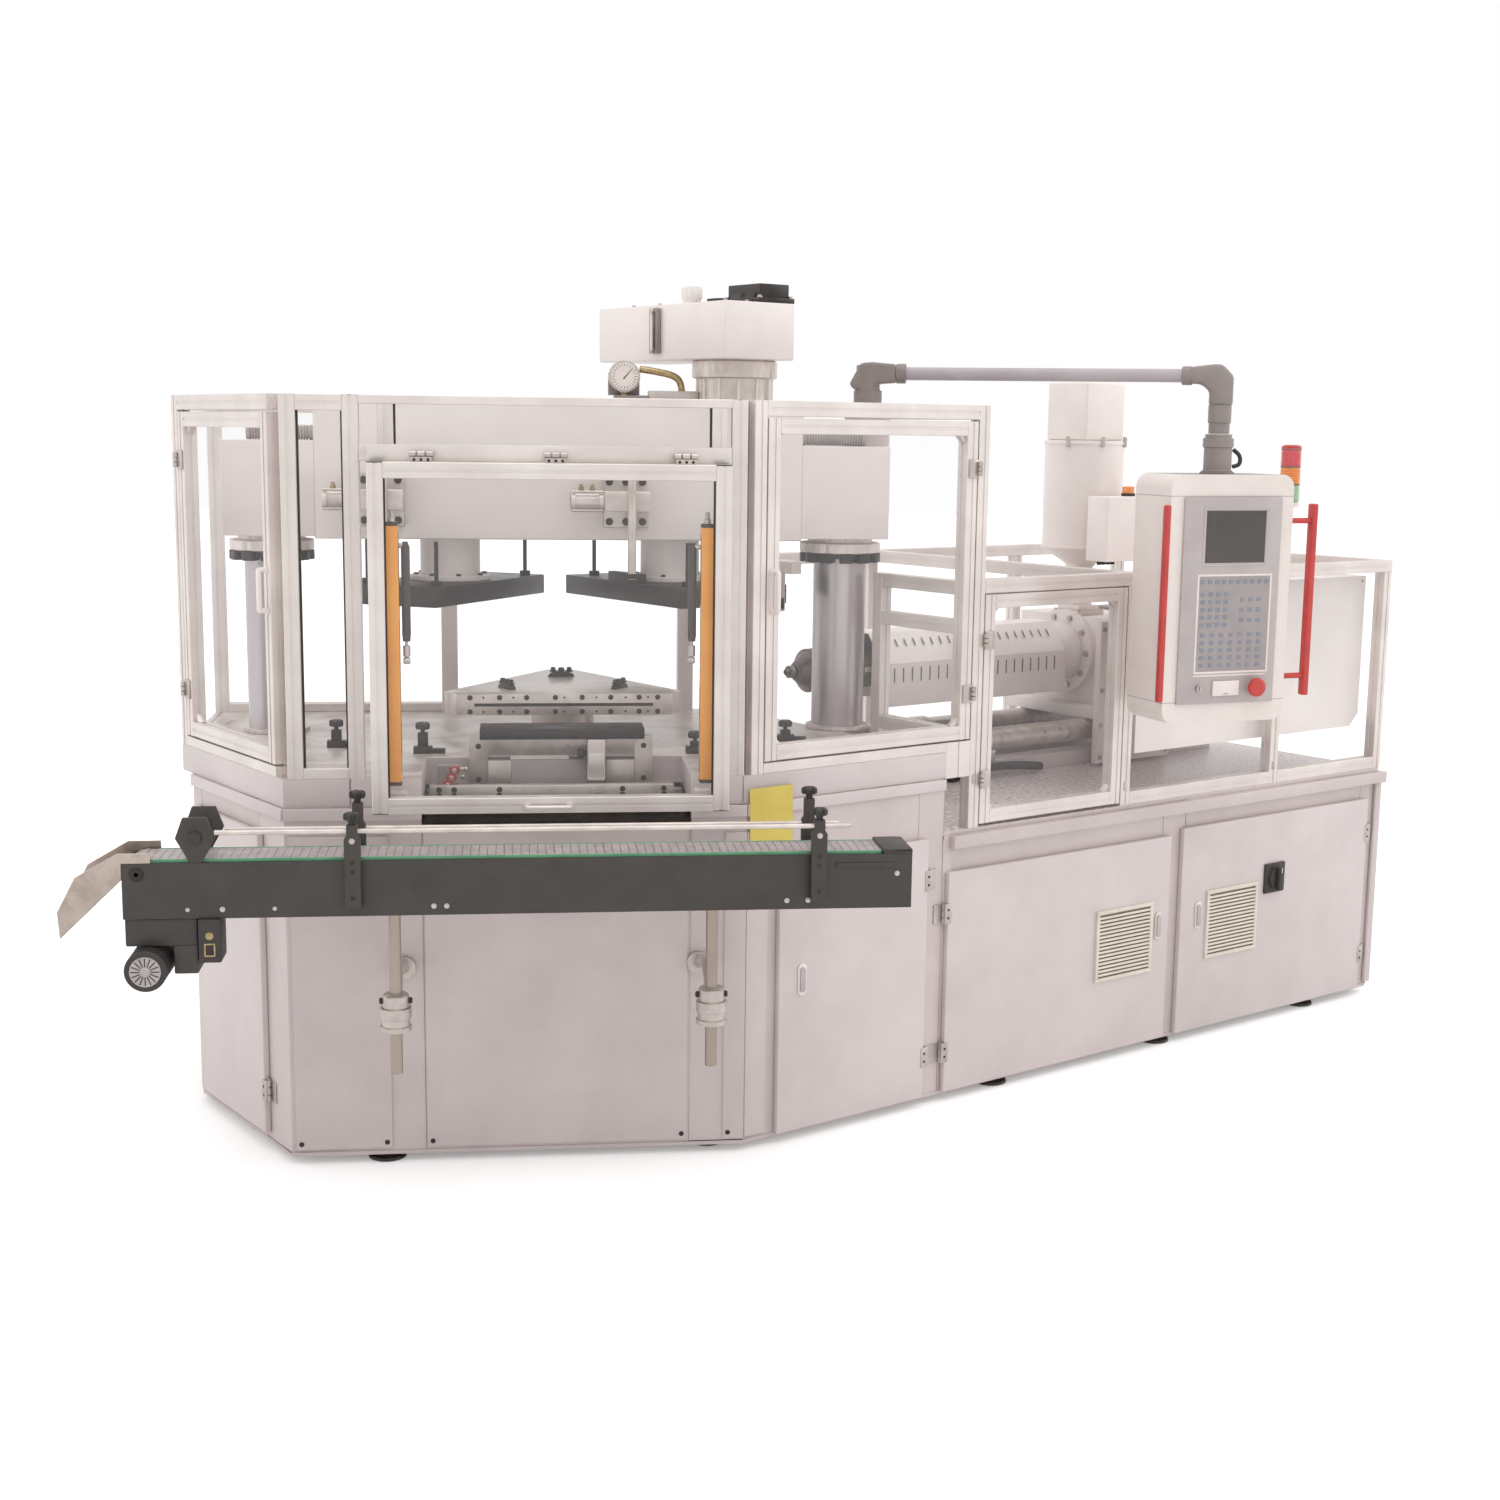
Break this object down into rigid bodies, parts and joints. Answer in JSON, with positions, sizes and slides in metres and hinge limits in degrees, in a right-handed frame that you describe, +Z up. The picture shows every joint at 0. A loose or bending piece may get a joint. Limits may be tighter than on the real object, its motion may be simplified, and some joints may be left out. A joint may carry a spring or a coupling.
{
  "type": "injection blow moulding machine",
  "caption": "Rotary-table injection blow moulding machine: guarded press with a cross beam on columns, angled injection unit on a cabinet, take-off conveyor and swing-arm control panel.",
  "frame": {"origin": "centre of the overall box in plan, on the floor", "axes": "+X along the front of the press towards the injection unit, -Y towards the operator, +Z up"},
  "size_m": [4.0465, 2.9368, 2.338],
  "materials": {
    "body_paint": "satin light grey paint",
    "door_paint": "satin light grey paint",
    "white_paint": "satin white paint",
    "profile": "anodised",
    "pane": "clear sheet",
    "chrome": "polished",
    "steel": "ground",
    "black_steel": "blackened",
    "black_paint": "satin black paint",
    "yellow": "satin yellow paint",
    "belt": "matt green",
    "cream": "moulded",
    "red": "moulded",
    "grey_paint": "satin grey paint",
    "hose": "ribbed",
    "black_plastic": "moulded"
  },
  "bodies": {
    "machine": {"base_frame": "body_paint", "press_deck": "steel", "levelling_feet": "grey_paint", "cabinet_frame": "body_paint", "tie_columns": "chrome", "press_beam": "white_paint", "clamp_cylinders": "steel", "prefill_tank": "white_paint", "tank_stand": "steel", "guard_frame": "profile", "guard_panes": "pane", "light_curtains": "yellow", "beam_hoses": "hose", "cabinet_equipment": "grey_paint", "index_drive": "grey_paint", "injection_bed": "white_paint", "stripper_frame": "steel", "conveyor_brackets": "steel", "arm_post": "white_paint"},
    "conveyor": {"conveyor_frame": "black_paint", "conveyor_belt": "belt", "guide_rails": "steel", "conveyor_drive": "black_paint", "discharge_chute": "steel"},
    "drive_roller": {"drive_roller": "steel"},
    "idler_roller": {"idler_roller": "steel"},
    "table_lift": {"table_shaft": "steel"},
    "index_table": {"index_table": "steel"},
    "injection_platen": {"injection_platen": "black_steel"},
    "blow_platen": {"blow_platen": "black_steel"},
    "gate": {"gate_frame": "profile", "gate_pane": "pane"},
    "spring_tubes": {"gas_spring_tubes": "black_paint"},
    "spring_rods": {"gas_spring_rods": "chrome"},
    "left_guard_door": {"left_door_frame": "profile", "left_door_pane": "pane"},
    "right_guard_door": {"right_door_frame": "profile", "right_door_pane": "pane"},
    "left_base_door": {"left_base_door": "door_paint"},
    "press_door": {"press_door": "door_paint"},
    "front_cabinet_door": {"front_cabinet_door": "door_paint"},
    "rear_cabinet_door": {"rear_cabinet_door": "door_paint"},
    "main_switch": {"main_switch": "black_plastic"},
    "injection_door": {"front_injection_door": "profile", "front_injection_pane": "pane"},
    "arm": {"support_arm": "grey_paint"},
    "panel": {"hmi_case": "cream", "hmi_handles": "red"},
    "stop_button": {"e_stop": "red"},
    "usb_flap": {"usb_flap": "cream"},
    "key_switch": {"key_switch": "steel"},
    "carriage": {"injection_carriage": "white_paint", "barrel": "steel", "barrel_cover": "white_paint", "hopper_loader": "white_paint", "drive_cover": "white_paint", "tower_light": "red"},
    "screw_drive": {"screw_drive": "grey_paint"},
    "screw": {"screw": "steel"},
    "stripper": {"stripper_plate": "black_steel"}
  },
  "joints": [
    {"name": "table_lift", "type": "slide", "parent": "machine", "child": "table_lift", "axis": [0, 0, 1], "range_m": [0, 0.04]},
    {"name": "table_index", "type": "hinge", "parent": "table_lift", "child": "index_table", "pos_m": [-0.82725, -0.32436, 1.1283], "axis": [0, 0, 1], "continuous": true},
    {"name": "injection_clamp", "type": "slide", "parent": "machine", "child": "injection_platen", "axis": [0, 0, -1], "range_m": [0, 0.16]},
    {"name": "blow_clamp", "type": "slide", "parent": "machine", "child": "blow_platen", "axis": [0, 0, -1], "range_m": [0, 0.16]},
    {"name": "gate_swing", "type": "hinge", "parent": "machine", "child": "gate", "pos_m": [-0.82725, -1.08636, 1.857], "axis": [-1, 0, 0], "range_deg": [0, 50]},
    {"name": "spring_tilt", "type": "hinge", "parent": "machine", "child": "spring_tubes", "pos_m": [-0.82725, -1.05106, 1.63], "axis": [-1, 0, 0], "range_deg": [0, 72]},
    {"name": "spring_stroke", "type": "slide", "parent": "spring_tubes", "child": "spring_rods", "axis": [0, 0, -1], "range_m": [0, 0.14]},
    {"name": "left_guard_door", "type": "hinge", "parent": "machine", "child": "left_guard_door", "pos_m": [-1.88518, -0.42718, 1.5], "axis": [0, 0, -1], "range_deg": [0, 90]},
    {"name": "right_guard_door", "type": "hinge", "parent": "machine", "child": "right_guard_door", "pos_m": [0.32923, -0.59544, 1.5], "axis": [0, 0, 1], "range_deg": [0, 90]},
    {"name": "left_base_door", "type": "hinge", "parent": "machine", "child": "left_base_door", "pos_m": [-1.62261, -0.88296, 0.4], "axis": [0, 0, 1], "range_deg": [0, 90]},
    {"name": "press_door", "type": "hinge", "parent": "machine", "child": "press_door", "pos_m": [0.19611, -0.67287, 0.4], "axis": [0, 0, 1], "range_deg": [0, 90]},
    {"name": "front_cabinet_door", "type": "hinge", "parent": "machine", "child": "front_cabinet_door", "pos_m": [0.25154, -0.64087, 0.35], "axis": [0, 0, -1], "range_deg": [0, 90]},
    {"name": "rear_cabinet_door", "type": "hinge", "parent": "machine", "child": "rear_cabinet_door", "pos_m": [1.94548, 0.33713, 0.35], "axis": [0, 0, 1], "range_deg": [0, 90]},
    {"name": "main_switch", "type": "hinge", "parent": "rear_cabinet_door", "child": "main_switch", "pos_m": [1.52322, 0.06851, 0.487], "axis": [-0.5, 0.866, 0], "range_deg": [0, 90]},
    {"name": "injection_door", "type": "hinge", "parent": "machine", "child": "injection_door", "pos_m": [0.36733, -0.57344, 1.1], "axis": [0, 0, -1], "range_deg": [0, 8]},
    {"name": "arm_swivel", "type": "hinge", "parent": "machine", "child": "arm", "pos_m": [0.08775, -0.13436, 1.985], "axis": [0, 0, 1], "range_deg": [-75, 2]},
    {"name": "panel_swivel", "type": "hinge", "parent": "arm", "child": "panel", "pos_m": [1.07031, -0.43663, 1.85], "axis": [0, 0, 1], "range_deg": [-8, 24]},
    {"name": "stop_press", "type": "slide", "parent": "panel", "child": "stop_button", "axis": [-0.2419, 0.9703, 0], "range_m": [0, 0.005]},
    {"name": "usb_flap", "type": "hinge", "parent": "panel", "child": "usb_flap", "pos_m": [1.09287, -0.53541, 1.22], "axis": [-0.9703, -0.2419, 0], "range_deg": [0, 90]},
    {"name": "key_turn", "type": "hinge", "parent": "panel", "child": "key_switch", "pos_m": [1.00304, -0.55956, 1.2], "axis": [-0.2419, 0.9703, 0], "range_deg": [0, 90]},
    {"name": "carriage_travel", "type": "slide", "parent": "machine", "child": "carriage", "axis": [-0.866, -0.5, 0], "range_m": [0, 0.2]},
    {"name": "screw_drive", "type": "slide", "parent": "carriage", "child": "screw_drive", "axis": [0.866, 0.5, 0], "range_m": [0, 0.1]},
    {"name": "screw_turn", "type": "hinge", "parent": "screw_drive", "child": "screw", "pos_m": [0.47179, 0.42564, 1.171], "axis": [0.866, 0.5, 0], "continuous": true},
    {"name": "stripper_travel", "type": "slide", "parent": "machine", "child": "stripper", "axis": [0, -1, 0], "range_m": [0, 0.2]},
    {"name": "conveyor_height", "type": "slide", "parent": "machine", "child": "conveyor", "axis": [0, 0, -1], "range_m": [0, 0.09]},
    {"name": "drive_roller", "type": "hinge", "parent": "conveyor", "child": "drive_roller", "pos_m": [-1.84125, -1.34936, 0.886], "axis": [0, 1, 0], "continuous": true},
    {"name": "idler_roller", "type": "hinge", "parent": "conveyor", "child": "idler_roller", "pos_m": [-0.03925, -1.34936, 0.886], "axis": [0, 1, 0], "continuous": true}
  ],
  "couplings": [
    {"joint": "spring_tilt", "follows": "gate_swing", "ratio": 1.434},
    {"joint": "spring_stroke", "follows": "gate_swing", "m_per_rad": 0.1593},
    {"joint": "idler_roller", "follows": "drive_roller", "ratio": 1}
  ]
}
